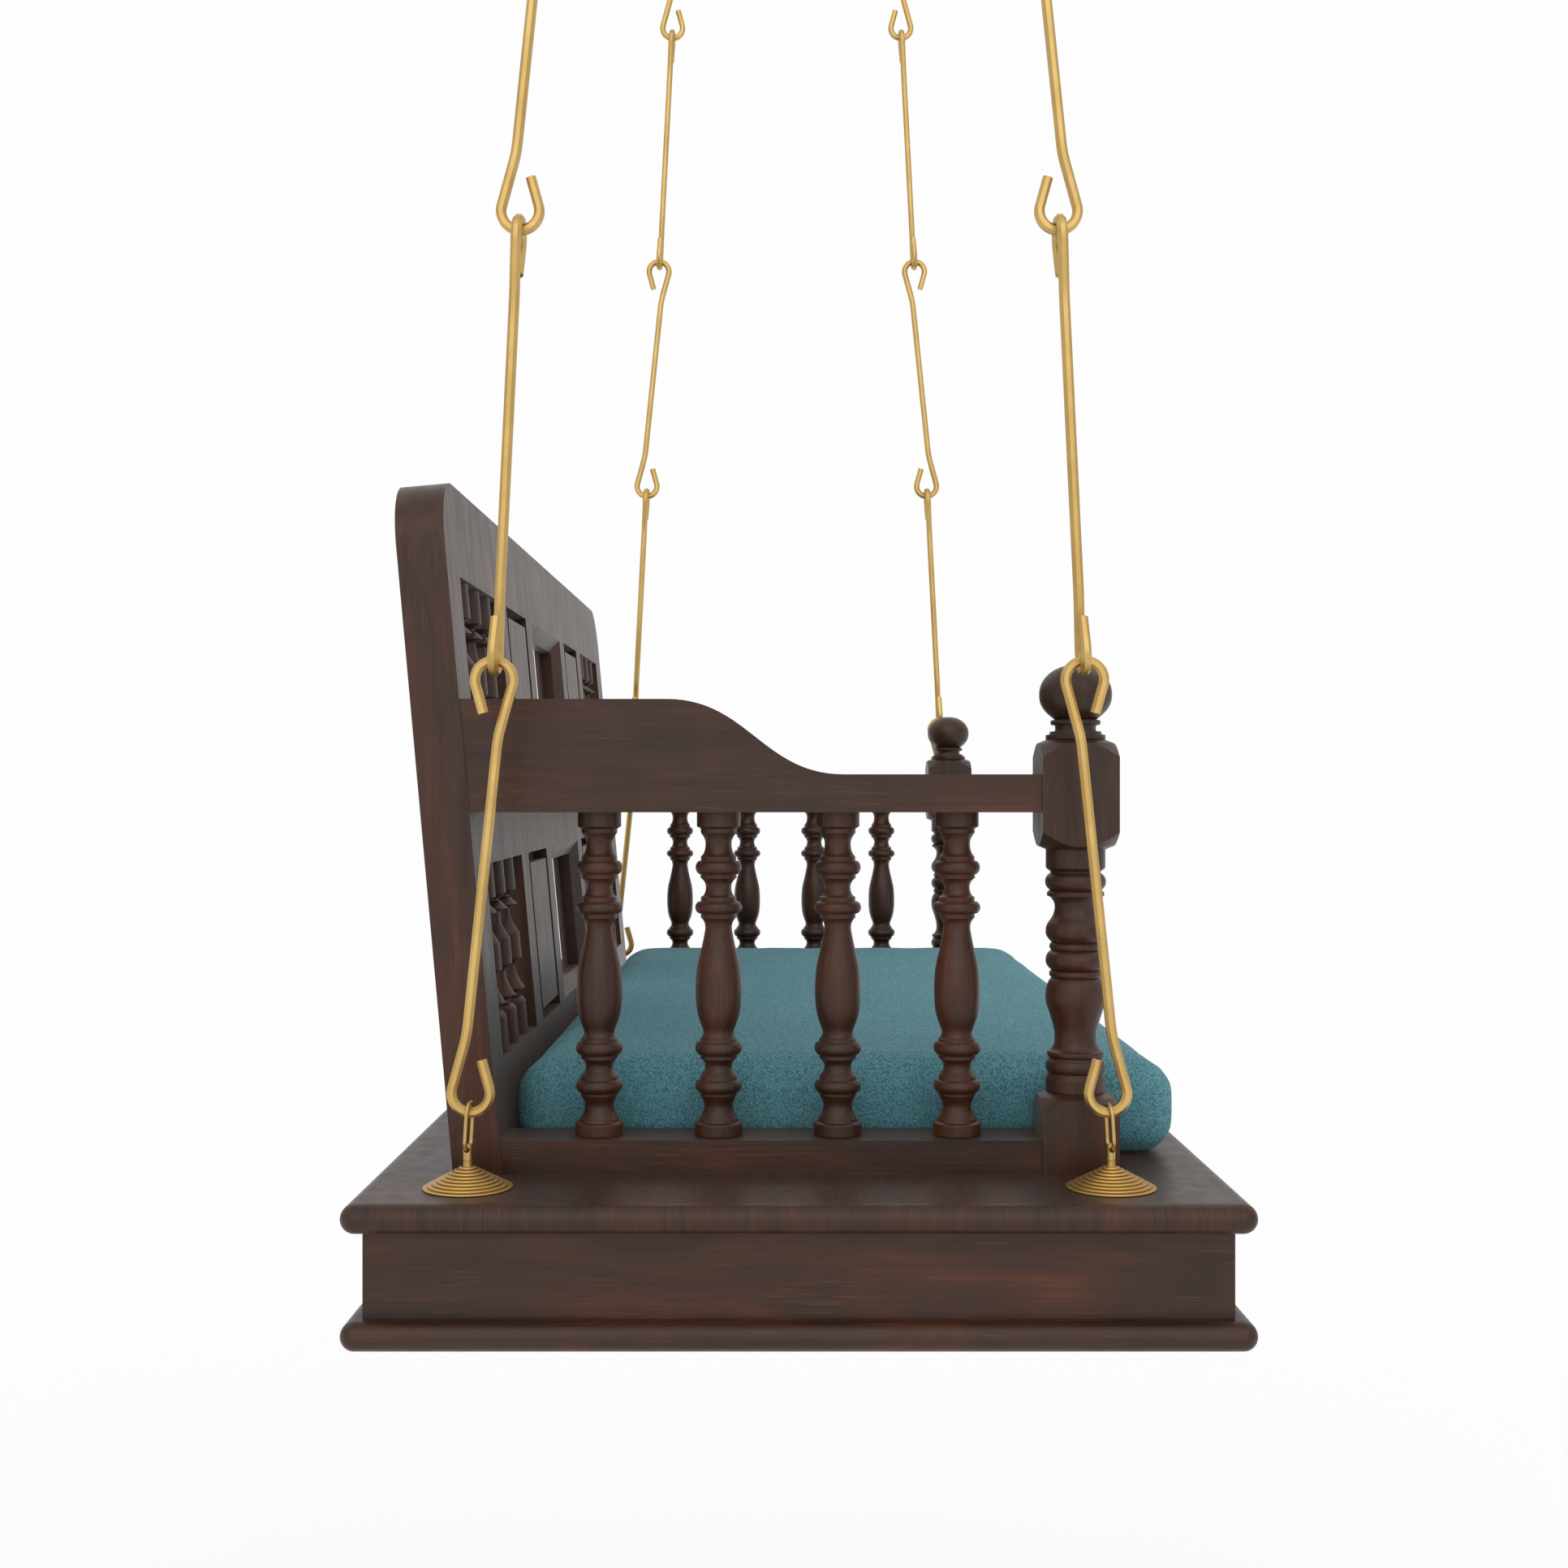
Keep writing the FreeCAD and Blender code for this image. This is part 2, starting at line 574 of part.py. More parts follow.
def ring_link(eye, along, turn, extra=0.0):
    """An oval ring from an eye hole; it reaches along the chain."""
    flat = V(math.cos(math.radians(turn)), math.sin(math.radians(turn)), 0)
    across = (flat - along * flat.dot(along)).normalize()
    low = eye + along * (RING_BEND_R - RING_DROP)
    high = eye + along * (RING_LENGTH + extra - RING_BEND_R - RING_DROP)
    bend_low, a, b = arc_between(low, RING_BEND_R, across, along, -math.pi, 0.0)
    bend_high, c, d = arc_between(high, RING_BEND_R, across, along, 0.0, math.pi)
    path = [bend_low, Part.LineSegment(b, c).toShape(), bend_high,
            Part.LineSegment(d, a).toShape()]
    section = Part.Wire(Part.makeCircle(RING_WIRE_R, a, along))
    return swept(path, section, across.cross(along))


def tangent_angle(point, side):
    """Angle of the bend where a straight limb to the point leaves it."""
    distance = math.hypot(point[0], point[1])
    return math.atan2(point[1], point[0]) - side * math.acos(HOOK_BEND_R / distance)


def hooked_rod(start, along, sideways):
    """An octagonal rod with an open hook bent at each end.  start is the
    lowest point of the lower hook's centre line."""
    length = ROD_PITCH + ROD_FLATS + HOOK_GAP
    middle = start + along * (length / 2.0)
    centre = start + along * HOOK_BEND_R

    def place(point, turn_round):
        at = centre + sideways * point[0] + along * point[1]
        return middle * 2.0 - at if turn_round else at

    tip_angle = tangent_angle(HOOK_TIP, 1)
    shank_angle = tangent_angle(SHANK_BEND, -1)
    low_angle = -math.pi / 2.0

    def on_bend(angle):
        return (HOOK_BEND_R * math.cos(angle), HOOK_BEND_R * math.sin(angle))

    limb = on_bend(shank_angle)
    shank_reach = place(SHANK_BEND, False)
    far_bend = place(SHANK_BEND, True)
    shank_way = (far_bend - shank_reach).normalize()
    limb_way = (shank_reach - place(limb, False)).normalize()
    before = shank_reach - limb_way * HOOK_SOFTEN
    after = shank_reach + shank_way * HOOK_SOFTEN
    centre_of_blend = shank_reach + (shank_way - limb_way) * (HOOK_SOFTEN / 4.0)

    edges = []
    tip = place(HOOK_TIP, False)
    edges.append(Part.LineSegment(tip, place(on_bend(tip_angle), False)).toShape())
    edges.append(Part.Arc(place(on_bend(tip_angle), False), place(on_bend(low_angle), False),
                          place(limb, False)).toShape())
    edges.append(Part.LineSegment(place(limb, False), before).toShape())
    edges.append(Part.Arc(before, centre_of_blend, after).toShape())
    far = [middle * 2.0 - p for p in (after, centre_of_blend, before)]
    edges.append(Part.LineSegment(after, far[0]).toShape())
    edges.append(Part.Arc(far[0], far[1], far[2]).toShape())
    edges.append(Part.LineSegment(far[2], place(limb, True)).toShape())
    edges.append(Part.Arc(place(limb, True), place(on_bend(low_angle), True),
                          place(on_bend(tip_angle), True)).toShape())
    edges.append(Part.LineSegment(place(on_bend(tip_angle), True),
                                  place(HOOK_TIP, True)).toShape())

    normal = sideways.cross(along).normalize()
    way = (place(on_bend(tip_angle), False) - tip).normalize()
    across = way.cross(normal).normalize()
    r = ROD_FLATS / 2.0 / math.cos(math.pi / 8)
    corners = [tip + across * (r * math.cos(k)) + normal * (r * math.sin(k))
               for k in [math.pi / 8 + n * math.pi / 4 for n in range(8)]]
    return swept(edges, Part.makePolygon(corners + [corners[0]]), normal)


def chain_points(side, row):
    """Eye holes and hook heights of one chain, measured along it."""
    along, inward = frame_of(row)
    low_eye = V(side * HANGER_X, HANGER_Y[row], TOP + EYE_ABOVE)
    first = RING_LENGTH - RING_DROP - RING_WIRE_R - ROD_FLATS / 2.0 - RING_GAP
    last = first + RODS * ROD_PITCH + ROD_FLATS + HOOK_GAP
    span = last + first
    return along, inward, low_eye, first, span


def chains():
    main = ("left", "front")
    ceiling = {"plates": [], "stems": [], "rosettes": []}
    seat = {"bolts": [], "rosettes": [], "nuts": []}
    for side_name, side in (("left", -1), ("right", 1)):
        for row in ("front", "back"):
            name = row + "_" + side_name
            along, inward, eye, first, span = chain_points(side, row)
            turn = RING_TURN if row == "front" else -RING_TURN
            top_eye = eye + along * span
            rods = []
            for number in range(RODS):
                sideways = inward if number % 2 == 0 else V(-1, 0, 0)
                start = eye + along * (first + number * ROD_PITCH)
                rods.append(hooked_rod(start, along, sideways))
            save("chain_rods_" + name, group(rods))
            extra = 0.0 if (side_name, row) == main else OPEN_GAP
            save("ring_link_bottom_" + name, ring_link(eye, along, turn, extra))
            save("ring_link_top_" + name, ring_link(top_eye, along * -1.0, turn))

            foot = V(eye.x, eye.y, TOP)
            bolt = eye_stem(BOLT_R, -TOP + 1.0, EYE_ABOVE, turn)
            seat["bolts"].append(moved(bolt, *foot))
            seat["rosettes"].append(moved(rosette(), *foot))
            under = NUT_POCKET_DEPTH - WASHER_THICK
            washer = Part.makeCylinder(WASHER_R, WASHER_THICK, V(0, 0, under))
            washer = washer.cut(Part.makeCylinder(BOLT_R + 0.2, 20, V(0, 0, 0)))
            nut = hexagon(under - 0.1 - NUT_HEIGHT, under - 0.1, NUT_FLATS, BOLT_R + 0.05)
            seat["nuts"] += [moved(washer, eye.x, eye.y), moved(nut, eye.x, eye.y)]

            ceiling_z = top_eye.z + EYE_ABOVE + PLATE_THICK
            head = V(eye.x, top_eye.y, ceiling_z - PLATE_THICK)
            stem = eye_stem(CEILING_SHANK_R, -PLATE_THICK + 0.5, EYE_ABOVE, turn)
            cover = rosette()
            plate = Part.makeCylinder(PLATE_R, PLATE_THICK)
            plate = plate.cut(Part.makeCylinder(CEILING_SHANK_R + 0.05, PLATE_THICK))
            rim = [e for e in plate.Edges if e.BoundBox.ZMax < 0.1 and e.BoundBox.XMax > 45]
            plate = plate.makeFillet(2.0, rim)
            for number in range(4):
                angle = math.radians(45 + 90 * number)
                r = PLATE_HOLE_PCD / 2.0
                plate = drill(plate, r * math.cos(angle), r * math.sin(angle), -1,
                              PLATE_THICK + 1, PLATE_HOLE_R)
            for key, part in (("stems", stem), ("rosettes", cover)):
                part.rotate(V(0, 0, 0), V(1, 0, 0), 180)
                if key == "stems":
                    part.rotate(V(0, 0, 0), V(0, 0, 1), 2 * turn)
                ceiling[key].append(moved(part, *head))
            ceiling["plates"].append(moved(plate, *head))
            print("chain", name, "eyes", eye, top_eye, "ceiling", round(ceiling_z, 3),
                  "bottom hook", eye + along * first)
    for key, parts in ceiling.items():
        save("ceiling_" + key, group(parts))
    save("seat_eye_bolts", group(seat["bolts"]))
    save("seat_rosettes", group(seat["rosettes"]))
    save("seat_nuts_and_washers", group(seat["nuts"]))


platform()
side_rails()
back()
mattress()
chains()
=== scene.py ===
import json
import math

import bmesh
import bpy
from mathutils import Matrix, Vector


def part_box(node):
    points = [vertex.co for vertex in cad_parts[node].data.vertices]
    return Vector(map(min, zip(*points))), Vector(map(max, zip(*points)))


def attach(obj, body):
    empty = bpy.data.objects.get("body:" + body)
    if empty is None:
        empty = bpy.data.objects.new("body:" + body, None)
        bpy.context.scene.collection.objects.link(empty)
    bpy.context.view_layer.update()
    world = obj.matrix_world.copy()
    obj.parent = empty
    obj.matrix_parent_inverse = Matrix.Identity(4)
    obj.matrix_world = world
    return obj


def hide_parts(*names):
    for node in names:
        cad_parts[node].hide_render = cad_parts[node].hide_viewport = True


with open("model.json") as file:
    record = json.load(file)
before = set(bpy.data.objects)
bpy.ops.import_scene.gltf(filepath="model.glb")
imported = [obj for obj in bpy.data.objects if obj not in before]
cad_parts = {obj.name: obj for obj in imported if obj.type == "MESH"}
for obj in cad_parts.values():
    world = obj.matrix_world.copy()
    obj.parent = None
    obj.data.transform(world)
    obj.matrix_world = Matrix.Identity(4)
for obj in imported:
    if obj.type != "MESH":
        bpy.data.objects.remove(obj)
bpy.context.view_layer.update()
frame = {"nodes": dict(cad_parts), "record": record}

MM = 0.001
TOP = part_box("platform_top_board")[1].z      # the platform's top face


# ---- camera -----------------------------------------------------------------
SENSOR = 36.0                   # mm
LENS = 43.45                    # mm
FAR = 100.0                     # metres
EYE = (-1911.2, 9.9, 278.85)    # mm from the seat's middle; height over the platform's top


def make_camera():
    """One-point view along +X from the seat's left end, level."""
    data = bpy.data.cameras.new("camera")
    data.sensor_width = SENSOR
    data.lens = LENS
    data.clip_end = FAR
    camera = bpy.data.objects.new("camera", data)
    bpy.context.collection.objects.link(camera)
    camera.location = (EYE[0] * MM, EYE[1] * MM, TOP + EYE[2] * MM)
    camera.rotation_euler = (math.radians(90.0), 0.0, math.radians(-90.0))
    bpy.context.scene.camera = camera


# ---- node helpers -----------------------------------------------------------
def new_material(name):
    material = bpy.data.materials.new(name)
    material.use_nodes = True
    tree = material.node_tree
    shader = next(n for n in tree.nodes if n.type == "BSDF_PRINCIPLED")
    return material, tree, shader


def node(tree, kind, inputs=None, **settings):
    made = tree.nodes.new(kind)
    for key, value in settings.items():
        setattr(made, key, value)
    for key, value in (inputs or {}).items():
        if isinstance(value, bpy.types.NodeSocket):
            tree.links.new(value, made.inputs[key])
        else:
            made.inputs[key].default_value = value
    return made


def ramp(tree, factor, stops, smooth=False):
    made = node(tree, "ShaderNodeValToRGB", {"Fac": factor})
    band = made.color_ramp
    band.interpolation = "EASE" if smooth else "LINEAR"
    while len(band.elements) < len(stops):
        band.elements.new(0.5)
    for element, (position, colour) in zip(band.elements, stops):
        element.position = position
        element.color = colour if len(colour) == 4 else (*colour, 1.0)
    return made.outputs["Color"]


def grey(value):
    return (value, value, value, 1.0)


def mix(tree, factor, a, b, blend="MIX"):
    made = node(tree, "ShaderNodeMix", data_type="RGBA", blend_type=blend)
    for socket, value in ((made.inputs[0], factor), (made.inputs[6], a), (made.inputs[7], b)):
        if isinstance(value, bpy.types.NodeSocket):
            tree.links.new(value, socket)
        else:
            socket.default_value = value
    return made.outputs[2]


def place(tree, scale, shift=(0.0, 0.0, 0.0)):
    """Object coordinates are the row frame in metres; scale is cells per metre."""
    coords = node(tree, "ShaderNodeTexCoord").outputs["Object"]
    mapping = node(tree, "ShaderNodeMapping", {"Vector": coords, "Location": shift, "Scale": scale})
    return mapping.outputs["Vector"]


def noise(tree, vector, detail=3.0, rough=0.5, distortion=0.0):
    made = node(tree, "ShaderNodeTexNoise", {"Vector": vector, "Scale": 1.0, "Detail": detail,
                                             "Roughness": rough, "Distortion": distortion})
    return made.outputs["Fac"]


# ---- materials --------------------------------------------------------------
WALNUT = [(0.30, (0.0230, 0.0088, 0.0044)), (0.47, (0.0350, 0.0128, 0.0058)),
          (0.60, (0.0450, 0.0150, 0.0064)), (0.76, (0.0720, 0.0215, 0.0082))]
PORE = (0.0120, 0.0062, 0.0040, 1.0)
HAIRLINE = (0.1150, 0.0330, 0.0130, 1.0)


def wood(name, grain, flat_end=False, shift=0.0):
    """Dark walnut-brown polished hardwood.  grain is the axis its fibres run
    along; flat_end makes the streaks run straight over the board's end; shift
    moves the pattern, so that groups of boards differ."""
    material, tree, shader = new_material(name)
    along = "XYZ".index(grain)

    def stretched(long, across, offset=0.0):
        scale = [across] * 3
        scale[along] = long
        if flat_end:
            scale[2] = long
        return place(tree, scale, (shift + offset,) * 3)

    fibre = noise(tree, stretched(9.0, 420.0), 3.0, 0.6, 0.4)
    figure = noise(tree, stretched(5.0, 30.0, 3.1), 4.0, 0.55, 1.6)
    blotch = noise(tree, place(tree, (7.0, 7.0, 7.0), (shift, 4.0, 1.0)), 2.0, 0.5)
    pores = noise(tree, stretched(60.0, 1100.0, 7.7), 2.0, 0.6)

    base = ramp(tree, figure, WALNUT)
    fine = ramp(tree, fibre, [(0.32, grey(0.72)), (0.5, grey(1.0)), (0.72, grey(1.28))])
    colour = mix(tree, 0.75, base, fine, "MULTIPLY")
    warm = ramp(tree, blotch, [(0.38, (0.84, 0.90, 0.95)), (0.62, (1.20, 1.06, 0.98))], True)
    colour = mix(tree, 0.9, colour, warm, "MULTIPLY")
    pore_mask = ramp(tree, pores, [(0.25, grey(0.0)), (0.37, grey(1.0))], True)
    colour = mix(tree, pore_mask, PORE, colour)

    # short reddish threads, gathered in patches
    thread = noise(tree, stretched(26.0, 820.0, 5.3), 2.0, 0.6, 0.3)
    patch = noise(tree, place(tree, (11.0, 11.0, 22.0), (2.0, shift, 3.0)), 2.0, 0.5)
    lines = ramp(tree, thread, [(0.57, grey(0.0)), (0.68, grey(1.0))])
    where = ramp(tree, patch, [(0.46, grey(0.0)), (0.62, grey(0.5))], True)
    hairlines = mix(tree, 1.0, lines, where, "MULTIPLY")
    colour = mix(tree, hairlines, colour, HAIRLINE)
    tree.links.new(colour, shader.inputs["Base Color"])

    mottle = noise(tree, place(tree, (70.0, 70.0, 16.0), (0.0, 2.0, shift)), 3.0, 0.6)
    gloss = ramp(tree, mottle, [(0.3, grey(0.44)), (0.7, grey(0.34))])
    tree.links.new(gloss, shader.inputs["Roughness"])
    shader.inputs["IOR"].default_value = 1.40
    shader.inputs["Sheen Weight"].default_value = 0.16
    shader.inputs["Sheen Roughness"].default_value = 0.20
    shader.inputs["Sheen Tint"].default_value = (1.0, 0.97, 0.95, 1.0)

    fibre_bump = node(tree, "ShaderNodeBump", {"Height": fibre, "Strength": 0.10,
                                               "Distance": 0.0006})
    grit = noise(tree, place(tree, (620.0, 620.0, 620.0)), 2.0, 0.7)
    grit_bump = node(tree, "ShaderNodeBump", {"Height": grit, "Strength": 0.10,
                                              "Distance": 0.0003,
                                              "Normal": fibre_bump.outputs["Normal"]})
    pore_bump = node(tree, "ShaderNodeBump", {"Height": pore_mask, "Strength": 0.16,
                                              "Distance": 0.0003,
                                              "Normal": grit_bump.outputs["Normal"]})
    tree.links.new(pore_bump.outputs["Normal"], shader.inputs["Normal"])
    return material


def brass():
    """Satin brass: even gold, faintly brushed, slightly darker in patches."""
    material, tree, shader = new_material("satin_brass")
    patch = noise(tree, place(tree, (28.0, 28.0, 28.0)), 3.0, 0.55)
    brushed = noise(tree, place(tree, (1400.0, 1400.0, 160.0)), 2.0, 0.6)
    colour = ramp(tree, patch, [(0.30, (0.540, 0.355, 0.122)), (0.70, (0.610, 0.415, 0.150))], True)
    tree.links.new(colour, shader.inputs["Base Color"])
    tree.links.new(ramp(tree, patch, [(0.3, grey(0.47)), (0.7, grey(0.38))]),
                   shader.inputs["Roughness"])
    shader.inputs["Metallic"].default_value = 1.0
    bump = node(tree, "ShaderNodeBump", {"Height": brushed, "Strength": 0.06, "Distance": 0.0002})
    tree.links.new(bump.outputs["Normal"], shader.inputs["Normal"])
    return material


def zinc():
    """Zinc-plated nuts and washers under the platform."""
    material, tree, shader = new_material("zinc_plate")
    spangle = noise(tree, place(tree, (260.0, 260.0, 260.0)), 3.0, 0.6)
    tree.links.new(ramp(tree, spangle, [(0.3, (0.36, 0.37, 0.39)), (0.7, (0.56, 0.57, 0.58))]),
                   shader.inputs["Base Color"])
    tree.links.new(ramp(tree, spangle, [(0.3, grey(0.42)), (0.7, grey(0.30))]),
                   shader.inputs["Roughness"])
    shader.inputs["Metallic"].default_value = 1.0
    return material


def boucle():
    """Teal looped weave: small rounded loops of yarn, with painted shade: darker between them."""
    material, tree, shader = new_material("teal_boucle")
    wander = noise(tree, place(tree, (210.0, 210.0, 210.0)), 2.0, 0.5)
    cells = node(tree, "ShaderNodeTexVoronoi", {"Vector": place(tree, (300.0, 660.0, 660.0)),
                                                "Scale": 1.0, "Randomness": 0.8},
                 feature="SMOOTH_F1")
    cells.inputs["Smoothness"].default_value = 0.5
    loops = cells.outputs["Distance"]
    yarn = noise(tree, place(tree, (1500.0, 1500.0, 1500.0), (2.0, 5.0, 1.0)), 2.0, 0.6)
    tint = noise(tree, place(tree, (9.0, 9.0, 9.0), (1.0, 0.0, 6.0)), 2.0, 0.5)

    # painted shade: the colour is lighter in the middle of each loop and darker in the gaps between
    # the loops
    base = ramp(tree, loops, [(0.10, (0.128, 0.300, 0.345)), (0.40, (0.094, 0.238, 0.277)),
                              (0.70, (0.050, 0.150, 0.178))], True)
    fleck = ramp(tree, wander, [(0.35, grey(0.90)), (0.65, grey(1.10))])
    colour = mix(tree, 0.85, base, fleck, "MULTIPLY")
    even = ramp(tree, tint, [(0.35, (0.95, 0.97, 0.98)), (0.65, (1.04, 1.02, 1.01))], True)
    colour = mix(tree, 1.0, colour, even, "MULTIPLY")
    tree.links.new(colour, shader.inputs["Base Color"])

    shader.inputs["Roughness"].default_value = 0.92
    shader.inputs["Specular IOR Level"].default_value = 0.25
    shader.inputs["Sheen Weight"].default_value = 0.10
    shader.inputs["Sheen Roughness"].default_value = 0.55
    shader.inputs["Sheen Tint"].default_value = (0.55, 0.86, 0.90, 1.0)
    sunk = ramp(tree, loops, [(0.0, grey(1.0)), (0.75, grey(0.0))])
    coarse = node(tree, "ShaderNodeBump", {"Height": sunk, "Strength": 0.75, "Distance": 0.0006})
    fine = node(tree, "ShaderNodeBump", {"Height": yarn, "Strength": 0.25, "Distance": 0.0003,
                                         "Normal": coarse.outputs["Normal"]})
    tree.links.new(fine.outputs["Normal"], shader.inputs["Normal"])
    return material


# ---- CAD nodes --------------------------------------------------------------
GRAIN_X = ("platform_top_board", "apron_front", "apron_back", "back_bottom_rail",
           "back_middle_rail", "back_top_rail")
GRAIN_Y = ("platform_bottom_board", "platform_cross_rails", "apron_left", "apron_right",
           "arm_", "sill_")


def dress_nodes():
    woods = {"X": wood("walnut_x", "X"), "Y": wood("walnut_y", "Y", shift=1.7),
             "Z": wood("walnut_z", "Z", shift=3.3)}
    board = wood("walnut_board", "X", flat_end=True, shift=5.2)
    metals = {"satin_brass": brass(), "plated_steel": zinc()}
    slots = {row["node"]: row["material_slot"] for row in frame["record"]["subparts"]}
    for name, piece in frame["nodes"].items():
        slot = slots[name]
        if slot == "teal_fabric":
            continue
        if slot in metals:
            material = metals[slot]
        elif name == "platform_top_board":
            material = board
        elif name.startswith(GRAIN_X):
            material = woods["X"]
        elif name.startswith(GRAIN_Y):
            material = woods["Y"]
        else:
            material = woods["Z"]
        piece.data.materials.clear()
        piece.data.materials.append(material)


# ---- mattress ---------------------------------------------------------------
INSET = Vector((3.0, 3.0, 0.0)) * MM         # the slab starts this much inside the CAD's box
CORNER_R = 28.0 * MM
CORNER_STEPS = 8
RIM_R = 24.0 * MM
RIM_STEPS = 6
VOXEL = 6.0 * MM
CLOTH_FRAMES = 20
SWELL_CAP = 6.0 * MM
BASE_TRIM = 6.5 * MM                         # the lowest part, pressed flat
LOW_MARGIN = Vector((-1.0, -4.5, 0.3)) * MM  # the finished cover against the CAD's box
HIGH_MARGIN = Vector((1.0, 3.5, 4.0)) * MM


def rounded_slab(low, high, corner, rim):
    """A closed slab with rounded plan corners and rounded rims, as a mesh."""
    mesh = bpy.data.meshes.new("slab")
    build = bmesh.new()
    bmesh.ops.create_cube(build, size=1.0)
    centre = (low + high) / 2.0
    size = high - low
    for vertex in build.verts:
        vertex.co = Vector((vertex.co.x * size.x, vertex.co.y * size.y,
                            vertex.co.z * size.z)) + centre
    upright = [e for e in build.edges
               if abs(e.verts[0].co.z - e.verts[1].co.z) > size.z * 0.9]
    bmesh.ops.bevel(build, geom=upright, offset=corner, segments=CORNER_STEPS,
                     affect="EDGES", profile=0.5)
    rims = [e for e in build.edges if abs(e.verts[0].co.z - e.verts[1].co.z) < 1e-6
            and len(e.link_faces) == 2
            and abs(e.link_faces[0].normal.z - e.link_faces[1].normal.z) > 0.5]
    bmesh.ops.bevel(build, geom=rims, offset=rim, segments=RIM_STEPS,
                     affect="EDGES", profile=0.5)
    build.to_mesh(mesh)
    build.free()
    return mesh


def apply_modifiers(piece):
    graph = bpy.context.evaluated_depsgraph_get()
    mesh = bpy.data.meshes.new_from_object(piece.evaluated_get(graph))
    old = piece.data
    piece.modifiers.clear()
    piece.data = mesh
    bpy.data.meshes.remove(old)


def inflate(piece):
    """Blows the cover up a little: a cloth under pressure, without gravity."""
    cloth = piece.modifiers.new("cloth", "CLOTH")
    settings = cloth.settings
    settings.use_pressure = True
    settings.uniform_pressure_force = 4.0
    settings.quality = 4
    settings.mass = 0.3
    settings.tension_stiffness = 12.0
    settings.compression_stiffness = 12.0
    settings.shear_stiffness = 6.0
    settings.bending_stiffness = 3.0
    settings.effector_weights.gravity = 0.0
    cloth.collision_settings.use_collision = False
    cloth.collision_settings.use_self_collision = False
    scene = bpy.context.scene
    cloth.point_cache.frame_start = 1
    cloth.point_cache.frame_end = CLOTH_FRAMES
    for number in range(1, CLOTH_FRAMES + 1):
        scene.frame_set(number)
    apply_modifiers(piece)
    scene.frame_set(1)


def settle(piece, rest):
    """Caps how far the cover moved in the simulation."""
    for vertex, start in zip(piece.data.vertices, rest):
        step = vertex.co - start
        if step.length > SWELL_CAP:
            vertex.co = start + step * (SWELL_CAP / step.length)


def fit_between(piece, low, high):
    """Stretches the cover to the mattress's place, its base flat on the board."""
    points = [vertex.co for vertex in piece.data.vertices]
    start = Vector([min(p[k] for p in points) for k in range(3)])
    end = Vector([max(p[k] for p in points) for k in range(3)])
    base = start.z + BASE_TRIM
    for point in points:
        point.z = max(point.z, base)
        for k, first in enumerate((start.x, start.y, base)):
            share = (point[k] - first) / (end[k] - first)
            point[k] = low[k] + share * (high[k] - low[k])


def make_mattress():
    """A foam mattress in a soft cover: inflated a little, resting flat."""
    low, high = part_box("mattress")
    mesh = rounded_slab(low + INSET, high - INSET, CORNER_R, RIM_R)
    piece = bpy.data.objects.new("mattress_cover", mesh)
    bpy.context.collection.objects.link(piece)

    remesh = piece.modifiers.new("remesh", "REMESH")
    remesh.mode = "VOXEL"
    remesh.voxel_size = VOXEL
    apply_modifiers(piece)
    rest = [v.co.copy() for v in piece.data.vertices]
    inflate(piece)
    settle(piece, rest)
    fit_between(piece, low + LOW_MARGIN, high + HIGH_MARGIN)
    smooth = piece.modifiers.new("smooth", "SUBSURF")
    smooth.levels = smooth.render_levels = 1
    apply_modifiers(piece)
    for face in piece.data.polygons:
        face.use_smooth = True
    piece.data.materials.append(boucle())
    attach(piece, "seat")
    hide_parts("mattress")


# ---- setting ----------------------------------------------------------------
FLOOR_BELOW = 1.2               # metres under the platform
FLOOR_REACH = 400.0             # metres to each side
SKY = 0.75                      # what the object is lit by and reflects
WHITE = 0.985                   # the backdrop and floor as the camera sees them
FLOOR_ALBEDO = 0.93
FRONT = 0.27                    # soft light from the camera's side
FRONT_HEIGHT = 25.0             # degrees over the horizon
ABOVE_WIDTH = 120.0             # degrees
FRONT_WIDTH = 70.0


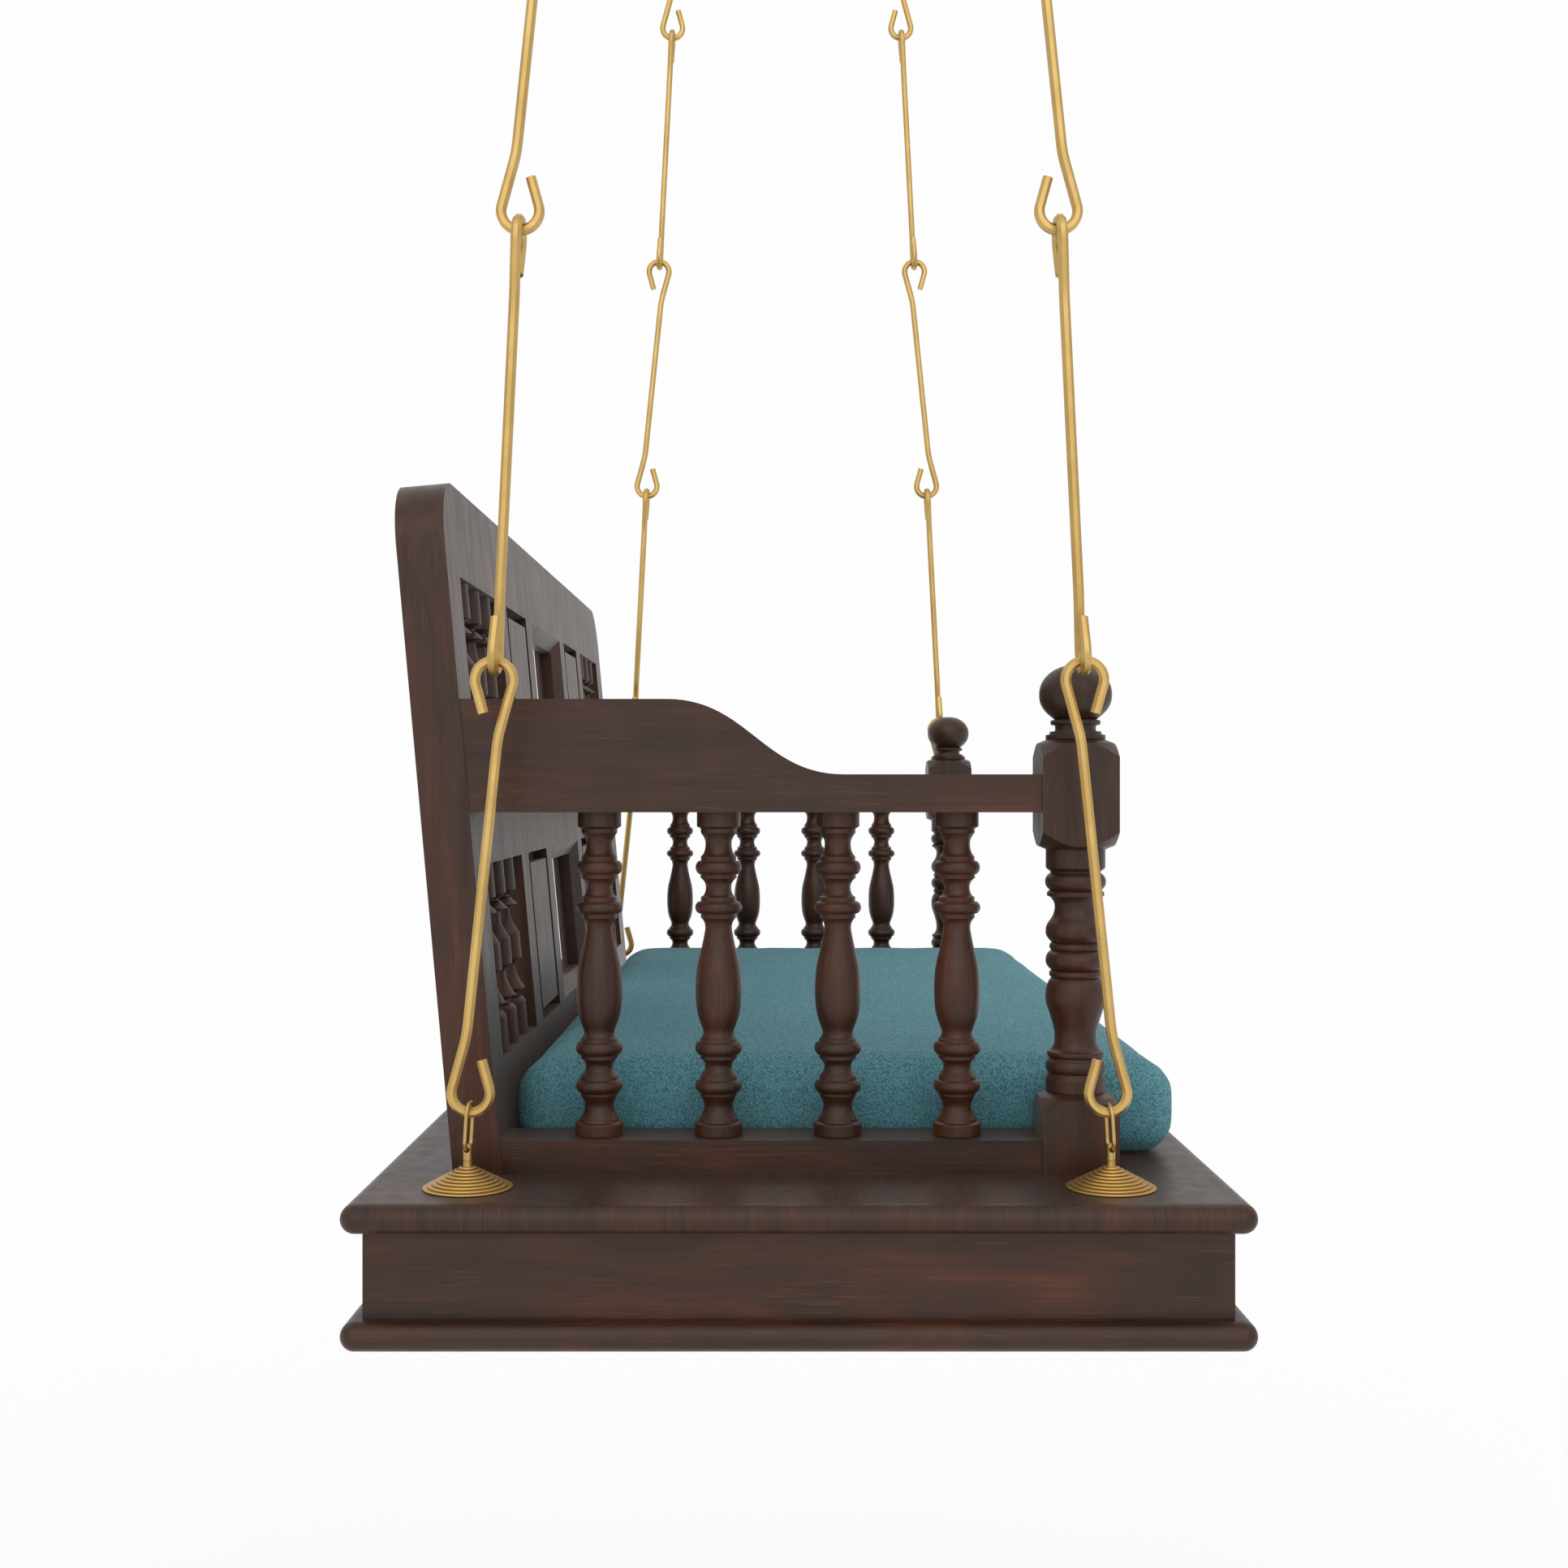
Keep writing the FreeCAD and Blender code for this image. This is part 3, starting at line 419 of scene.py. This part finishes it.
def make_floor():
    """A plain pale floor, far enough down to keep the shadow out of the main view."""
    mesh = bpy.data.meshes.new("floor")
    build = bmesh.new()
    bmesh.ops.create_grid(build, x_segments=1, y_segments=1, size=FLOOR_REACH)
    build.to_mesh(mesh)
    build.free()
    floor = bpy.data.objects.new("floor", mesh)
    bpy.context.collection.objects.link(floor)
    floor.location.z = -FLOOR_BELOW
    material, tree, shader = new_material("pale_floor")
    shader.inputs["Base Color"].default_value = grey(FLOOR_ALBEDO)
    shader.inputs["Roughness"].default_value = 1.0
    shader.inputs["Specular IOR Level"].default_value = 0.0
    mesh.materials.append(material)


def soft_sun(name, strength, width, turn):
    """A sun as wide as a soft box; strength is what it adds to a white card."""
    data = bpy.data.lights.new(name, "SUN")
    data.energy = math.pi * strength
    data.angle = math.radians(width)
    sun = bpy.data.objects.new(name, data)
    bpy.context.collection.objects.link(sun)
    sun.rotation_euler = turn


def make_light():
    """An even white studio: a pale sky all round and two very soft suns."""
    world = bpy.data.worlds.new("studio")
    bpy.context.scene.world = world
    world.use_nodes = True
    tree = world.node_tree
    tree.nodes.clear()
    seen = node(tree, "ShaderNodeBackground", {"Color": grey(1.0), "Strength": WHITE})
    lit = node(tree, "ShaderNodeBackground", {"Color": grey(1.0), "Strength": SKY})
    path = node(tree, "ShaderNodeLightPath")
    both = node(tree, "ShaderNodeMixShader", {"Fac": path.outputs["Is Camera Ray"]})
    tree.links.new(lit.outputs[0], both.inputs[1])
    tree.links.new(seen.outputs[0], both.inputs[2])
    out = node(tree, "ShaderNodeOutputWorld")
    tree.links.new(both.outputs[0], out.inputs["Surface"])

    tilt = math.radians(FRONT_HEIGHT)
    # what is still missing for the floor to look as white as the backdrop
    above = WHITE / FLOOR_ALBEDO - SKY - FRONT * math.sin(tilt)
    soft_sun("sun_above", above, ABOVE_WIDTH, (0.0, 0.0, 0.0))
    soft_sun("sun_front", FRONT, FRONT_WIDTH, (0.0, tilt - math.pi / 2.0, 0.0))


make_camera()
make_floor()
make_light()
dress_nodes()
make_mattress()
bpy.context.scene.view_settings.view_transform = "Standard"
